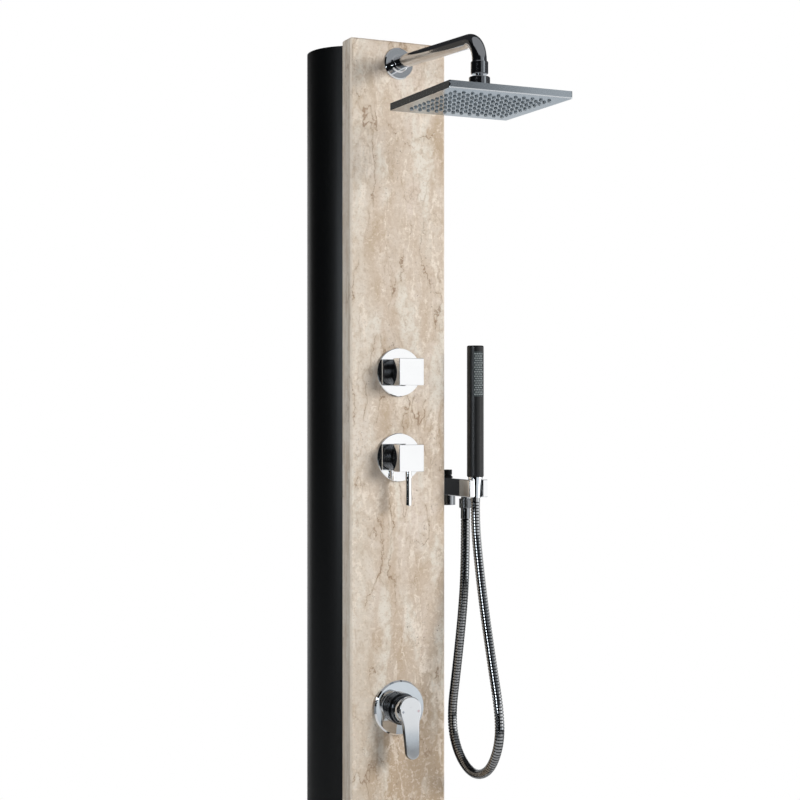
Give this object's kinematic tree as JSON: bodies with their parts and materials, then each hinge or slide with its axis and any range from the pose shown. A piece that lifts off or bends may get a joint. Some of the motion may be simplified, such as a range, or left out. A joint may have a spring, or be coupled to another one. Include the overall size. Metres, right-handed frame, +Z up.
{
  "type": "solar shower",
  "caption": "Free-standing solar shower: stone panel before a black tank tube, overhead rain head on an arm, stop valves, lever mixer and a hand shower on a hose.",
  "frame": {"origin": "on the ground, at the middle of the base plate's four anchor holes", "axes": "+Z up, -Y out of the stone panel's face, +X to the right seen from the front"},
  "size_m": [0.3, 0.6816, 2.212],
  "materials": {
    "stone": "honed veined stone",
    "tank_black": "satin black",
    "frame_black": "powder coat",
    "pad": "matte",
    "steel": "plain",
    "brass": "machined",
    "copper": "drawn tube",
    "chrome": "polished",
    "dark_chrome": "polished, dark",
    "brushed": "brushed",
    "spray_face": "satin",
    "nozzle": "matte",
    "hand_black": "satin black",
    "spray_plate": "matte",
    "cold_blue": "gloss",
    "hot_red": "gloss",
    "cartridge": "moulded"
  },
  "bodies": {
    "stand": {"base_plate": "frame_black", "panel_pad": "pad", "stone_panel": "stone", "tank_tube": "tank_black", "tank_cap": "tank_black", "tank_foot": "tank_black", "end_spacers": "frame_black", "middle_spacer": "frame_black", "frame_screws": "steel", "cold_tee": "brass", "hot_elbow": "brass", "cold_pipe": "copper", "hot_pipe": "copper", "riser_pipes": "copper", "hand_pipe": "copper", "arm_elbow": "brass", "arm_rose": "chrome", "shower_arm": "chrome", "arm_nut": "chrome", "upper_valve_body": "brass", "upper_cartridge": "cartridge", "upper_rose": "chrome", "upper_sleeve": "chrome", "middle_valve_body": "brass", "middle_cartridge": "cartridge", "middle_rose": "chrome", "middle_sleeve": "chrome", "mixer_body": "brass", "mixer_cartridge": "cartridge", "mixer_rose": "chrome", "mixer_sleeve": "chrome", "holder_bar": "chrome", "holder_banjo": "dark_chrome", "holder_bolt": "frame_black", "outlet_nipple": "brass", "hose_nut": "dark_chrome", "hose_ferrule": "dark_chrome", "hose_rear": "dark_chrome"},
    "upper_turn": {"upper_spindle": "brass", "upper_knob": "chrome"},
    "middle_turn": {"middle_spindle": "brass", "middle_knob": "chrome", "middle_pin": "chrome"},
    "mixer_turn": {"mixer_stem": "brass", "mixer_pivot": "steel"},
    "mixer_lift": {"mixer_lever": "chrome", "cold_mark": "cold_blue", "hot_mark": "hot_red"},
    "ball": {"swivel_ball": "chrome"},
    "collar": {"swivel_collar": "chrome", "ball_seal": "pad"},
    "rain_head": {"head_cover": "brushed", "head_face": "spray_face", "head_nozzles": "nozzle"},
    "hose_loop": {"hose_front": "dark_chrome"},
    "hose_tip": {"hose_end": "chrome"},
    "hand_shower": {"hand_cone": "chrome", "hand_body": "hand_black", "hand_spray": "spray_plate", "hand_jets": "nozzle"}
  },
  "joints": [
    {"name": "upper_knob_turn", "type": "hinge", "parent": "stand", "child": "upper_turn", "pos_m": [0, -0.14925, 1.659], "axis": [0, -1, 0], "range_deg": [0, 90]},
    {"name": "middle_knob_turn", "type": "hinge", "parent": "stand", "child": "middle_turn", "pos_m": [0, -0.14925, 1.52], "axis": [0, -1, 0], "range_deg": [-90, 90]},
    {"name": "mixer_temperature", "type": "hinge", "parent": "stand", "child": "mixer_turn", "pos_m": [0, -0.14725, 1.111], "axis": [0, -1, 0], "range_deg": [-50, 50]},
    {"name": "mixer_flow", "type": "hinge", "parent": "mixer_turn", "child": "mixer_lift", "pos_m": [0, -0.14725, 1.111], "axis": [-1, 0, 0], "range_deg": [0, 25]},
    {"name": "ball_swivel", "type": "hinge", "parent": "stand", "child": "ball", "pos_m": [0, -0.40225, 2.078], "axis": [0, 0, 1], "continuous": true},
    {"name": "head_tilt", "type": "hinge", "parent": "ball", "child": "collar", "pos_m": [0, -0.40225, 2.078], "axis": [1, 0, 0], "range_deg": [-12, 12]},
    {"name": "head_spin", "type": "hinge", "parent": "collar", "child": "rain_head", "pos_m": [0, -0.40225, 2.078], "axis": [0, 0, 1], "continuous": true},
    {"name": "hose_loop_rise", "type": "slide", "parent": "stand", "child": "hose_loop", "axis": [0, 0, 1], "range_m": [0, 0.02], "deforming": ["hose_rear"]},
    {"name": "hand_shower_lift", "type": "slide", "parent": "hose_loop", "child": "hose_tip", "axis": [0, 0, 1], "range_m": [0, 0.02], "deforming": ["hose_front"]},
    {"name": "hand_shower_turn", "type": "hinge", "parent": "hose_tip", "child": "hand_shower", "pos_m": [0.124, -0.15325, 1.487], "axis": [0, 0, 1], "continuous": true}
  ],
  "couplings": [
    {"joint": "hose_loop_rise", "follows": "hand_shower_lift", "ratio": 1}
  ]
}
